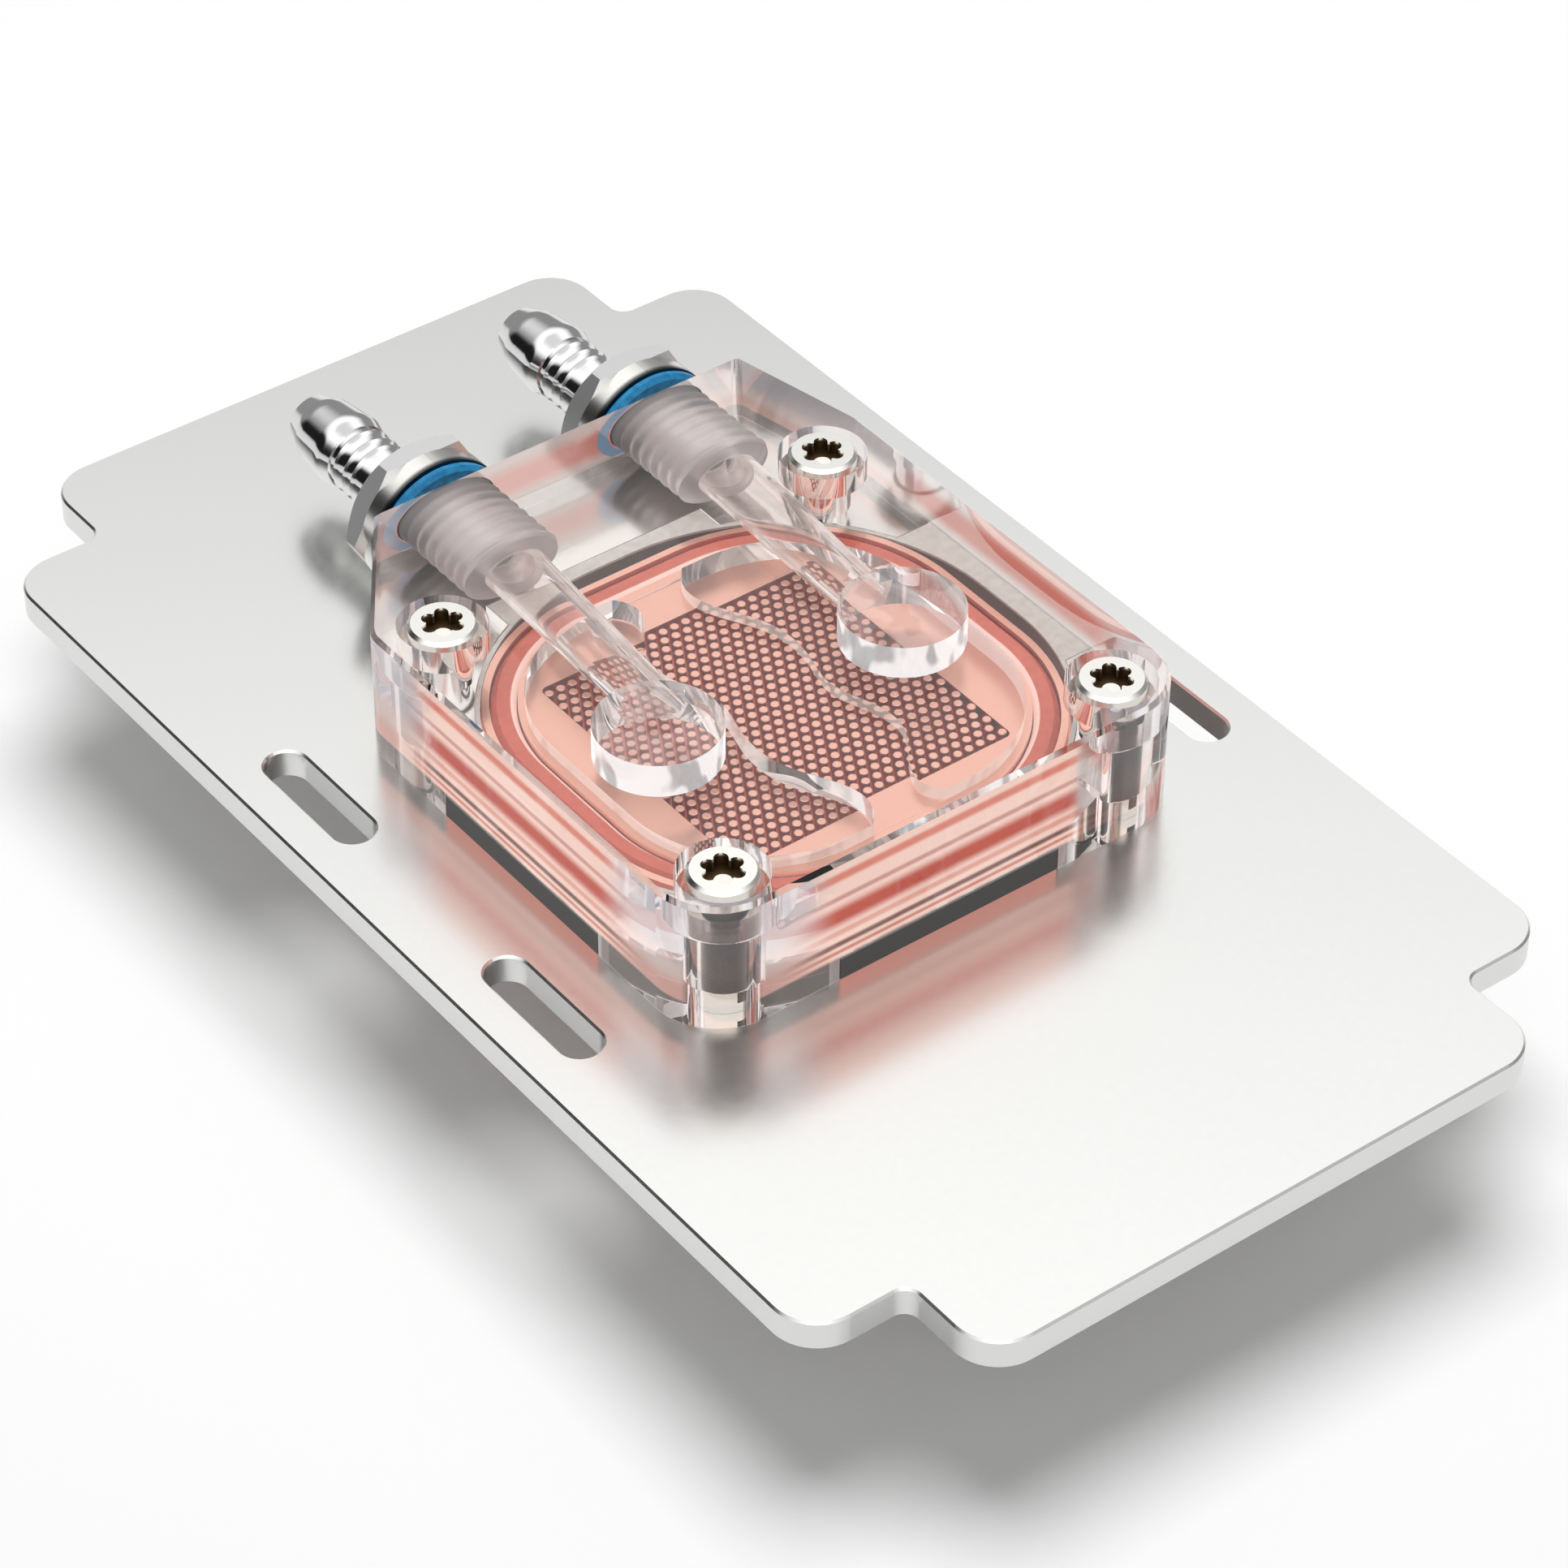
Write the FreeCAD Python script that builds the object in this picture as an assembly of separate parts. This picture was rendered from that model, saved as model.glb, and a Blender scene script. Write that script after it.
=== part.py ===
import math
import os

import FreeCAD
import Part

Vector = FreeCAD.Vector
UP = Vector(0, 0, 1)
BACK = Vector(0, 1, 0)

# Liquid cooling cold plate: a copper pin-fin base under a clear milled cover, clamped to a
# carrier plate. Millimetres. Origin: centre of the carrier plate's underside. +Z up,
# +Y along the plate towards the hose fittings, +X across it.

# Carrier plate, with a notch in each corner and two slots along each long side
plate_width = 100.0
plate_length = 177.0
plate_thickness = 3.5
notch_width = 12.7
notch_length = 12.7
lobe_radius = 5.5
notch_radius = 1.8
plate_edge_break = 0.25
slot_width = 5.0
slot_length = 18.2
slot_edge_inset = 7.2
slot_spacing_y = 42.4
window_clearance = 0.2

# Block centre line, and how far the four cover screws stand in from the cover's edges
block_center_y = -4.75
screw_inset_x = 7.4
screw_inset_y = 6.25

# Clear cover: outline and height over the carrier plate
port_end_length = 15.6
cover_rear_left_x = -21.0
cover_rear_right_x = 29.8
cover_taper_length = 17.8
cover_height = 16.5
cover_front_radius = 8.0
cover_shoulder_radius = 4.0
cover_rear_radius = 1.2
cover_edge_break = 0.5

# Base frame round the copper base, with bands flush with the cover at three sides
frame_height = 2.8
gasket_thickness = 0.3
frame_side_gap = 1.7
frame_front_gap = 0.65
frame_rear_gap = 1.95
side_band_width = 2.3
front_band_width = 2.1
frame_opening_front_radius = 25.5
frame_opening_rear_radius = 28.5
frame_neck = 0.5
frame_clearance = 0.1
side_band_front_y = -18.0
side_band_rear_y = 10.3
front_band_left_x = -15.4
front_band_right_x = 14.1
rear_band_width = 1.8

# Copper base: contact pad, lip, raised deck, seal groove and pin field
pad_size = 43.6
pad_radius = 4.5
lip_thickness = 0.7
lip_clearance = 0.2
deck_size_x = 59.0
deck_size_y = 58.0
deck_rim = 2.4
seal_path_radius = 20.0
seal_width = 2.9
seal_height = 2.2
seal_bevel = 0.7
groove_clearance = 0.1
pin_field_x = 36.8
pin_field_y = 37.0
pin_depth = 2.0
pin_recess_radius = 0.8
pin_diameter = 1.1
pin_pitch = 1.55
pin_sides = 4

# Flow chamber in the cover, the land across it, the two round pockets and their channels
chamber_size_x = 49.2
chamber_size_y = 47.4
chamber_radius = 16.5
chamber_height = 2.7
land_clearance = 0.1
pocket_diameter = 14.4
pocket_ceiling = 13.5
pocket_y = -5.4
pocket_left_x = -16.2
pocket_right_x = 17.1
channel_wide_diameter = 7.8
channel_narrow_diameter = 6.2
channel_drift_x = -2.0

# Right edge of the land, seen from above and measured from the block's centre;
# the left edge is the same curve turned half a turn
land_edge = [
    (8.0, 26.0),
    (3.3, 17.2),
    (6.6, 10.5),
    (6.9, 3.0),
    (5.8, -2.0),
    (7.7, -8.9),
    (7.6, -13.0),
    (3.9, -19.0),
    (8.0, -26.0),
]

# Ports, frosted thread inserts, washers, port seals and hose barbs
port_left_x = -11.4
port_right_x = 18.1
port_height = 9.1
thread_diameter = 13.157
thread_clearance = 0.07
insert_length = 13.2
insert_gap = 0.2
insert_bore_diameter = 6.6
washer_diameter = 17.6
washer_thickness = 2.6
port_seal_thickness = 1.6
port_seal_width = 2.0
port_seal_clearance = 0.1
port_seal_bevel = 0.5
hex_across_flats = 17.0
hex_thickness = 3.0
hex_chamfer_inset = 0.1
barb_bore_diameter = 5.2
stem_diameter = 6.5
stem_length = 10.0
neck_diameter = 7.9
neck_ring_diameter = 8.3
neck_length = 11.0
neck_ring_places = (5.8, 7.4, 9.3)
neck_ring_width = 0.9
neck_ring_crest = 0.7
bulb_root_diameter = 8.3
bulb_diameter = 9.3
bulb_nose_diameter = 8.2
bulb_tip_diameter = 6.0
bulb_length = 9.6
bulb_widest = 0.18
bulb_nose = 0.7

# Cover screws with their collars, limiter tubes and slotted foot bushes
screw_diameter = 4.0
screw_head_diameter = 7.9
screw_head_height = 2.6
screw_head_proud = 0.2
screw_head_bevel = 0.4
screw_end_gap = 0.5
screw_clearance = 0.05
socket_core_diameter = 3.6
socket_lobe_diameter = 1.6
socket_lobe_circle = 3.4
socket_depth = 1.6
collar_diameter = 10.0
collar_height = 3.0
collar_clearance = 0.1
tube_diameter = 6.5
tube_bore_diameter = 4.2
tube_clearance = 0.05
bush_diameter = 5.8
bush_slot_width = 1.2
bush_slot_depth = 1.8

# Outlines worked out from the sizes above, from the copper base outwards
seal_size_x = deck_size_x - 2 * deck_rim
seal_size_y = deck_size_y - 2 * deck_rim
frame_opening_side_x = deck_size_x / 2 + frame_side_gap
frame_opening_front_y = block_center_y - deck_size_y / 2 - frame_front_gap
frame_opening_rear_y = block_center_y + deck_size_y / 2 + frame_rear_gap
cover_side_x = frame_opening_side_x + side_band_width
cover_front_y = frame_opening_front_y - front_band_width
cover_rear_y = frame_opening_rear_y + port_end_length
cover_shoulder_y = cover_rear_y - cover_taper_length
screw_x = cover_side_x - screw_inset_x
screw_front_y = cover_front_y + screw_inset_y
screw_rear_y = 2 * block_center_y - screw_front_y
slot_spacing_x = plate_width - 2 * slot_edge_inset

# Heights and places worked out from the sizes above
plate_top = plate_thickness
frame_top = plate_top + frame_height
deck_top = frame_top + gasket_thickness
cover_top = plate_top + cover_height
chamber_top = deck_top + chamber_height
pocket_top = plate_top + pocket_ceiling
port_z = plate_top + port_height
port_bore_end_y = cover_rear_y - insert_length - insert_gap
washer_front_y = cover_rear_y + port_seal_thickness
washer_back_y = washer_front_y + washer_thickness
collar_bottom = cover_top + screw_head_proud - screw_head_height - collar_height
screw_places = {
    "front_left": (-screw_x, screw_front_y),
    "front_right": (screw_x, screw_front_y),
    "rear_left": (-screw_x, screw_rear_y),
    "rear_right": (screw_x, screw_rear_y),
}
port_places = {"left": port_left_x, "right": port_right_x}
pocket_places = {"left": pocket_left_x, "right": pocket_right_x}


def rounded_face(corners, z):
    """Flat face at height z from (x, y, radius) corners, each rounded by its own arc."""
    arcs = []
    count = len(corners)
    for i, (x, y, radius) in enumerate(corners):
        here = Vector(x, y, z)
        back = Vector(corners[i - 1][0], corners[i - 1][1], z) - here
        ahead = Vector(corners[(i + 1) % count][0], corners[(i + 1) % count][1], z) - here
        back.normalize()
        ahead.normalize()
        half = back.getAngle(ahead) / 2
        middle = (back + ahead).normalize()
        run = radius / math.tan(half)
        crown = here + middle * (radius / math.sin(half) - radius)
        arcs.append((here + back * run, crown, here + ahead * run))
    edges = []
    for i, (start, crown, end) in enumerate(arcs):
        edges.append(Part.Arc(start, crown, end).toShape())
        following = arcs[(i + 1) % count][0]
        if (following - end).Length > 1e-6:
            edges.append(Part.LineSegment(end, following).toShape())
    return Part.Face(Part.Wire(edges))


def rounded_block(x0, y0, x1, y1, z0, z1, front_radius, rear_radius):
    """Upright block with rounded vertical edges, front and rear radii apart."""
    corners = [
        (x0, y0, front_radius),
        (x1, y0, front_radius),
        (x1, y1, rear_radius),
        (x0, y1, rear_radius),
    ]
    return rounded_face(corners, z0).extrude(UP * (z1 - z0))


def centred_block(size_x, size_y, radius, z0, z1):
    """Rounded block centred on the block's centre line."""
    half_x = size_x / 2
    half_y = size_y / 2
    middle = block_center_y
    return rounded_block(-half_x, middle - half_y, half_x, middle + half_y, z0, z1, radius, radius)


def rod(x, y, z0, z1, diameter):
    """Upright cylinder."""
    return Part.makeCylinder(diameter / 2, z1 - z0, Vector(x, y, z0))


def port_rod(x, y0, y1, diameter):
    """Cylinder along a port's axis."""
    return Part.makeCylinder(diameter / 2, y1 - y0, Vector(x, y0, port_z), BACK)


def port_revolve(x, outline):
    """Turned piece on a port's axis, from the (y, radius) corners of its section."""
    points = [Vector(x, y, port_z + radius) for y, radius in outline]
    section = Part.Face(Part.makePolygon(points + points[:1]))
    return section.revolve(Vector(x, 0, port_z), BACK, 360)


def edges_at(shape, z):
    """Edges that lie wholly at height z."""
    found = []
    for edge in shape.Edges:
        box = edge.BoundBox
        if abs(box.ZMin - z) < 1e-6 and abs(box.ZMax - z) < 1e-6:
            found.append(edge)
    return found


def build_carrier_plate():
    half_x = plate_width / 2
    half_y = plate_length / 2
    inner_x = half_x - notch_width
    inner_y = half_y - notch_length
    quarter = [
        (half_x, inner_y, lobe_radius),
        (inner_x, inner_y, notch_radius),
        (inner_x, half_y, lobe_radius),
    ]
    corners = list(quarter)
    corners += [(-x, y, radius) for x, y, radius in reversed(quarter)]
    corners += [(-x, -y, radius) for x, y, radius in quarter]
    corners += [(x, -y, radius) for x, y, radius in reversed(quarter)]
    plate = rounded_face(corners, 0).extrude(UP * plate_thickness)
    for sign_x in (-1, 1):
        for sign_y in (-1, 1):
            x = sign_x * slot_spacing_x / 2
            y = sign_y * slot_spacing_y / 2
            x0, x1 = x - slot_width / 2, x + slot_width / 2
            y0, y1 = y - slot_length / 2, y + slot_length / 2
            end_radius = slot_width / 2 - 1e-4
            slot = rounded_block(x0, y0, x1, y1, 0, plate_thickness, end_radius, end_radius)
            plate = plate.cut(slot)
    plate = plate.makeChamfer(plate_edge_break, edges_at(plate, plate_top))
    window_size = pad_size + 2 * window_clearance
    window = centred_block(window_size, window_size, pad_radius + window_clearance, 0, plate_top)
    plate = plate.cut(window)
    for x, y in screw_places.values():
        plate = plate.cut(rod(x, y, 0, plate_top, screw_diameter + 2 * screw_clearance))
    return plate


def pin_field():
    """The staggered pins, standing on the floor of their recess."""
    pins = []
    row_pitch = pin_pitch * math.sqrt(3) / 2
    rows = int((pin_field_y - pin_diameter) / row_pitch) + 1
    floor = deck_top - pin_depth
    for row in range(rows):
        y = block_center_y + (row - (rows - 1) / 2) * row_pitch
        shift = pin_pitch / 2 * (row % 2)
        columns = int((pin_field_x - pin_diameter - shift) / pin_pitch) + 1
        first_x = -pin_field_x / 2 + pin_diameter / 2 + shift
        spare = pin_field_x - pin_diameter - int((pin_field_x - pin_diameter) / pin_pitch) * pin_pitch
        for column in range(columns):
            x = first_x + spare / 2 + column * pin_pitch
            points = []
            for side in range(pin_sides):
                angle = 2 * math.pi * side / pin_sides
                reach = pin_diameter / 2
                points.append(Vector(x + reach * math.cos(angle), y + reach * math.sin(angle), floor))
            outline = Part.makePolygon(points + points[:1])
            pins.append(Part.Face(outline).extrude(UP * pin_depth))
    return pins


def seal_ring(width, z0, height):
    """Ring that follows the seal's path, square in section."""
    outer_x, outer_y = seal_size_x + width, seal_size_y + width
    inner_x, inner_y = seal_size_x - width, seal_size_y - width
    outer = centred_block(outer_x, outer_y, seal_path_radius + width / 2, z0, z0 + height)
    inner = centred_block(inner_x, inner_y, seal_path_radius - width / 2, z0, z0 + height)
    return outer.cut(inner)


def build_copper_base():
    pad = centred_block(pad_size, pad_size, pad_radius, 0, plate_top)
    lip = frame_opening(-lip_clearance, plate_top, plate_top + lip_thickness)
    deck_radius = seal_path_radius + deck_rim
    deck = centred_block(deck_size_x, deck_size_y, deck_radius, plate_top, deck_top)
    base = pad.fuse(lip).fuse(deck)
    groove = seal_ring(seal_width + 2 * groove_clearance, deck_top - seal_height, seal_height)
    base = base.cut(groove)
    recess = centred_block(pin_field_x, pin_field_y, pin_recess_radius, deck_top - pin_depth, deck_top)
    base = base.cut(recess)
    return base.fuse(pin_field())


def frame_opening(grow, z0, z1):
    """Block in the shape of the frame's opening, grown or shrunk all round."""
    return rounded_block(
        -frame_opening_side_x - grow,
        frame_opening_front_y - grow,
        frame_opening_side_x + grow,
        frame_opening_rear_y + grow,
        z0,
        z1,
        frame_opening_front_radius + grow,
        frame_opening_rear_radius + grow,
    )


def cover_outline():
    return [
        (-cover_side_x, cover_front_y, cover_front_radius),
        (cover_side_x, cover_front_y, cover_front_radius),
        (cover_side_x, cover_shoulder_y, cover_shoulder_radius),
        (cover_rear_right_x, cover_rear_y, cover_rear_radius),
        (cover_rear_left_x, cover_rear_y, cover_rear_radius),
        (-cover_side_x, cover_shoulder_y, cover_shoulder_radius),
    ]


def frame_body(grow, z0, z1):
    """The frame without its opening: a neck all round and a band at each side's middle."""
    neck = frame_opening(frame_neck + grow, z0, z1)
    side_x = cover_side_x + grow
    side_y0 = side_band_front_y - grow
    side_length = side_band_rear_y + grow - side_y0
    sides = Part.makeBox(2 * side_x, side_length, z1 - z0, Vector(-side_x, side_y0, z0))
    end_x0 = front_band_left_x - grow
    end_width = front_band_right_x + grow - end_x0
    end_y0 = cover_front_y - grow
    end_length = frame_opening_rear_y + rear_band_width + grow - end_y0
    ends = Part.makeBox(end_width, end_length, z1 - z0, Vector(end_x0, end_y0, z0))
    return neck.fuse(sides).fuse(ends)


def build_frame_layer(z0, z1):
    """One layer of the frame's shape, its bands flush with the cover's walls."""
    layer = frame_body(0, z0, z1).cut(frame_opening(0, z0, z1)).removeSplitter()
    return layer.common(rounded_face(cover_outline(), z0).extrude(UP * (z1 - z0)))


def land_block(z0, z1):
    """The wavy land that splits the flow chamber in two."""
    right = [Vector(x, block_center_y + y, z0) for x, y in land_edge]
    left = [Vector(-x, block_center_y - y, z0) for x, y in land_edge]
    right_curve = Part.BSplineCurve()
    right_curve.interpolate(right)
    left_curve = Part.BSplineCurve()
    left_curve.interpolate(left)
    edges = [
        right_curve.toShape(),
        Part.LineSegment(right[-1], left[0]).toShape(),
        left_curve.toShape(),
        Part.LineSegment(left[-1], right[0]).toShape(),
    ]
    return Part.Face(Part.Wire(edges)).extrude(UP * (z1 - z0))


def flow_channel(side):
    """Tapered channel from a port's bore to its round pocket."""
    start = Vector(port_places[side], port_bore_end_y, port_z)
    end = Vector(port_places[side] + channel_drift_x, pocket_y, port_z)
    run = end - start
    wide = channel_wide_diameter / 2
    narrow = channel_narrow_diameter / 2
    return Part.makeCone(wide, narrow, run.Length, start, run)


def build_clear_cover():
    cover = rounded_face(cover_outline(), plate_top).extrude(UP * cover_height)
    cover = cover.makeChamfer(cover_edge_break, edges_at(cover, cover_top))
    cover = cover.cut(frame_body(frame_clearance, plate_top, deck_top))
    chamber = centred_block(chamber_size_x, chamber_size_y, chamber_radius, deck_top, chamber_top)
    land = land_block(deck_top + land_clearance, chamber_top)
    cover = cover.cut(chamber.cut(land))
    for side, x in pocket_places.items():
        cover = cover.cut(rod(x, pocket_y, deck_top, pocket_top, pocket_diameter))
        cover = cover.cut(flow_channel(side))
    for x in port_places.values():
        bore_diameter = thread_diameter + 2 * thread_clearance
        cover = cover.cut(port_rod(x, port_bore_end_y, cover_rear_y + 1, bore_diameter))
    for x, y in screw_places.values():
        counterbore = collar_diameter + 2 * collar_clearance
        cover = cover.cut(rod(x, y, collar_bottom, cover_top, counterbore))
        cover = cover.cut(rod(x, y, deck_top, collar_bottom, tube_diameter + 2 * tube_clearance))
        cover = cover.cut(rod(x, y, plate_top, deck_top, bush_diameter + 2 * tube_clearance))
    return cover


def build_main_seal():
    bottom = deck_top - seal_height
    ring = seal_ring(seal_width, bottom, seal_height)
    edges = edges_at(ring, bottom) + edges_at(ring, deck_top)
    return ring.makeChamfer(seal_bevel, edges)


def build_screw(x, y):
    head_top = cover_top + screw_head_proud
    head_bottom = head_top - screw_head_height
    head = rod(x, y, head_bottom, head_top, screw_head_diameter)
    head = head.makeChamfer(screw_head_bevel, edges_at(head, head_top))
    socket = rod(x, y, head_top - socket_depth, head_top, socket_core_diameter)
    for lobe in range(6):
        angle = math.radians(60 * lobe)
        lobe_x = x + socket_lobe_circle / 2 * math.cos(angle)
        lobe_y = y + socket_lobe_circle / 2 * math.sin(angle)
        socket = socket.fuse(rod(lobe_x, lobe_y, head_top - socket_depth, head_top, socket_lobe_diameter))
    shank = rod(x, y, screw_end_gap, head_bottom, screw_diameter)
    return head.cut(socket).fuse(shank)


def build_collar(x, y):
    top = collar_bottom + collar_height
    collar = rod(x, y, collar_bottom, top, collar_diameter)
    return collar.cut(rod(x, y, collar_bottom, top, tube_bore_diameter))


def build_limiter_tube(x, y):
    tube = rod(x, y, deck_top, collar_bottom, tube_diameter)
    return tube.cut(rod(x, y, deck_top, collar_bottom, tube_bore_diameter))


def build_foot_bush(x, y):
    bush = rod(x, y, plate_top, deck_top, bush_diameter)
    bush = bush.cut(rod(x, y, plate_top, deck_top, tube_bore_diameter))
    corner = Vector(x - bush_slot_width / 2, y - bush_diameter / 2, deck_top - bush_slot_depth)
    return bush.cut(Part.makeBox(bush_slot_width, bush_diameter, bush_slot_depth, corner))


def build_port_insert(x):
    body = port_rod(x, cover_rear_y - insert_length, cover_rear_y, thread_diameter)
    return body.cut(port_rod(x, cover_rear_y - insert_length, cover_rear_y, insert_bore_diameter))


def build_port_seal(x):
    inner = thread_diameter / 2 + port_seal_clearance
    outer = inner + port_seal_width
    outline = [
        (cover_rear_y, inner),
        (washer_front_y, inner),
        (washer_front_y, outer - port_seal_bevel),
        (washer_front_y - port_seal_bevel, outer),
        (cover_rear_y + port_seal_bevel, outer),
        (cover_rear_y, outer - port_seal_bevel),
    ]
    return port_revolve(x, outline)


def build_port_washer(x):
    flange = port_rod(x, washer_front_y, washer_back_y, washer_diameter)
    spigot = port_rod(x, cover_rear_y, washer_front_y, thread_diameter - 2 * port_seal_clearance)
    bore = port_rod(x, cover_rear_y, washer_back_y, insert_bore_diameter)
    return flange.fuse(spigot).cut(bore)


def build_hose_barb(x):
    hex_back_y = washer_back_y + hex_thickness
    corner_radius = hex_across_flats / 2 / math.cos(math.pi / 6)
    points = []
    for side in range(6):
        angle = math.radians(60 * side)
        reach_x = corner_radius * math.cos(angle)
        reach_z = corner_radius * math.sin(angle)
        points.append(Vector(x + reach_x, washer_back_y, port_z + reach_z))
    hexagon = Part.Face(Part.makePolygon(points + points[:1])).extrude(BACK * hex_thickness)
    face_radius = hex_across_flats / 2 - hex_chamfer_inset
    wide_radius = face_radius + hex_thickness
    chamfer = Part.makeCone(wide_radius, face_radius, hex_thickness, Vector(x, washer_back_y, port_z), BACK)
    hexagon = hexagon.common(chamfer)
    neck = neck_diameter / 2
    ring = neck_ring_diameter / 2
    bore = barb_bore_diameter / 2
    shoulder_y = hex_back_y + neck_length
    tip_y = shoulder_y + bulb_length
    stem_y = cover_rear_y - stem_length
    outline = [(stem_y, bore), (stem_y, stem_diameter / 2), (washer_back_y, stem_diameter / 2)]
    outline += [(washer_back_y, neck)]
    for place in neck_ring_places:
        start = hex_back_y + place
        crest = start + neck_ring_width * neck_ring_crest
        outline += [(start, neck), (crest, ring), (start + neck_ring_width, neck)]
    outline += [(shoulder_y, neck), (shoulder_y, bulb_root_diameter / 2)]
    outline += [(shoulder_y + bulb_length * bulb_widest, bulb_diameter / 2)]
    outline += [(shoulder_y + bulb_length * bulb_nose, bulb_nose_diameter / 2)]
    outline += [(tip_y, bulb_tip_diameter / 2), (tip_y, bore)]
    return port_revolve(x, outline).fuse(hexagon)


def build_parts():
    parts = {
        "carrier_plate": build_carrier_plate(),
        "copper_base": build_copper_base(),
        "base_frame": build_frame_layer(plate_top, frame_top),
        "frame_gasket": build_frame_layer(frame_top, deck_top),
        "main_seal": build_main_seal(),
        "clear_cover": build_clear_cover(),
    }
    for place, (x, y) in screw_places.items():
        parts["cover_screw_" + place] = build_screw(x, y)
        parts["screw_collar_" + place] = build_collar(x, y)
        parts["limiter_tube_" + place] = build_limiter_tube(x, y)
        parts["foot_bush_" + place] = build_foot_bush(x, y)
    for side, x in port_places.items():
        parts["port_insert_" + side] = build_port_insert(x)
        parts["port_seal_" + side] = build_port_seal(x)
        parts["port_washer_" + side] = build_port_washer(x)
        parts["hose_barb_" + side] = build_hose_barb(x)
    return parts


def main():
    os.makedirs("parts", exist_ok=True)
    for name, shape in build_parts().items():
        shape.exportStep("parts/" + name + ".step")


main()
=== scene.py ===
import math

import bmesh
import bpy
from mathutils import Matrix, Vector
from mathutils.bvhtree import BVHTree


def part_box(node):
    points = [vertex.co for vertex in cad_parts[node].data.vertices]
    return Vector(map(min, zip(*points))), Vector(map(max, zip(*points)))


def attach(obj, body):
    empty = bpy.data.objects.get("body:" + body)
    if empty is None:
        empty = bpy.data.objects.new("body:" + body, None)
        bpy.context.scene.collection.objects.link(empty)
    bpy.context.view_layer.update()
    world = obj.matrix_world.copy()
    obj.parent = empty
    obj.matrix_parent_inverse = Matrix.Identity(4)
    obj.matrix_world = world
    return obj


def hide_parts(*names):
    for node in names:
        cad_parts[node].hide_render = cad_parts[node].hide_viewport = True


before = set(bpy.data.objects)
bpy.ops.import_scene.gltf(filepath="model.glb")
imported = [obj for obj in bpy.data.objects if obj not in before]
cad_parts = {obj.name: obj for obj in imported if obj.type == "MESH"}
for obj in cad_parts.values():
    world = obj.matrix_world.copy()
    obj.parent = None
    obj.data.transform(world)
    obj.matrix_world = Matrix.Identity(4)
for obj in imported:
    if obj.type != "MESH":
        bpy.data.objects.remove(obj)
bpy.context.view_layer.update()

MM = 0.001
BODY = "root"
PLACES = ("front_left", "front_right", "rear_left", "rear_right")
SIDES = ("left", "right")

# Camera, in the part's own frame: the photograph's own view
PHOTO_PIXELS = 1932
FOCAL_PIXELS = 6447.8
SENSOR_MM = 36.0
CAMERA_PLACE_MM = (-268.6, -355.7, 374.1)
CAMERA_TURN_DEG = (49.841, -0.359, -37.264)
CAMERA_CLIP = (0.01, 20.0)
TRANSPARENT_BOUNCES = 32

# Studio: a round lamp over the plate, a softbox by the camera, a black flag beyond the hose
# barbs, and a white floor below. A way is a direction of length 1, and a spread gives the
# cosines of the angles from it between which the softbox or the flag fades in.
KEY_PLACE = (0.11, 0.12, 1.06)
KEY_SIZE = 0.8
KEY_WATTS = 9.6
FILL_LEVEL = 0.24
SOFTBOX_WAY = (-0.466, -0.606, 0.645)
SOFTBOX_SPREAD = (0.93, 0.97)
SOFTBOX_LEVEL = 1.1
FLAG_WAY = (-0.79, 0.606, 0.1)
FLAG_SPREAD = (0.82, 0.92)
FLAG_SHARE = 0.96
FLOOR_DROP = 20.0 * MM
FLOOR_SIZE = 12.0
FLOOR_GLOW = 0.07

# Levels of the sky, and the heights of a ray's direction over which each one comes in
HORIZON_LEVEL = 0.33
CEILING_LEVEL = 1.4
CEILING_RISE = (0.4, 0.75)
ZENITH_SHARE = 0.66
ZENITH_RISE = (0.85, 0.97)
INNER_LEVELS = (0.98, 1.4)
INNER_RISE = (-0.1, 0.4)

# Heights and centres read from the solids
deck_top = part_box("copper_base")[1].z
cover_low, cover_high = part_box("clear_cover")
block_y = (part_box("cover_screw_front_left")[0].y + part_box("cover_screw_rear_left")[1].y) / 2
screw_low, screw_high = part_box("cover_screw_front_right")
washer_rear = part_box("port_washer_left")[1].y

# The same for the finishes, in millimetres, as Graph.place gives a place on a piece
BLOCK_Y_MM = block_y / MM
SCREW_X_MM = (screw_low.x + screw_high.x) / 2 / MM
SCREW_Y_MM = (block_y - (screw_low.y + screw_high.y) / 2) / MM
SCREW_TOP_MM = screw_high.z / MM

# Pin field: round pins on the lattice of the solid's plain ones
PIN_FIELD_X = 36.8 * MM
PIN_FIELD_Y = 37.0 * MM
PIN_RECESS_RADIUS = 0.8 * MM
PIN_DEPTH = 2.0 * MM
PIN_LATTICE_DIAMETER = 1.1 * MM
PIN_PITCH = 1.55 * MM
PIN_RADIUS = 0.53 * MM
PIN_CROWN = 0.09 * MM
PIN_FACETS = 14
PIN_MERGE_DISTANCE = 0.001 * MM
RECESS_MARGIN = 0.02 * MM

# Washer and hexagon at each port, along the port's axis
WASHER_THICKNESS = 2.6 * MM
HEXAGON_THICKNESS = 3.0 * MM

# Path of the main seal
SEAL_HALF_X = 27.1 * MM
SEAL_HALF_Y = 26.6 * MM
SEAL_PATH_RADIUS = 20.0 * MM

# Thread of the port inserts
THREAD_PITCH = 1.814 * MM
THREAD_DEPTH = 0.42 * MM
THREAD_SHARPNESS = 1.3
INSERT_BORE_RADIUS = 3.3 * MM
THREAD_SEGMENTS = 120
THREAD_RINGS_PER_TURN = 10

# Meshes: corners closer than the distance are one, and edges flatter than the angle are smooth
MERGE_DISTANCE = 0.002 * MM
SMOOTH_ANGLE = 30
THREAD_SMOOTH_ANGLE = 50

# Air gap that keeps a clear piece off what it touches
FILM = 0.012 * MM

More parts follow.
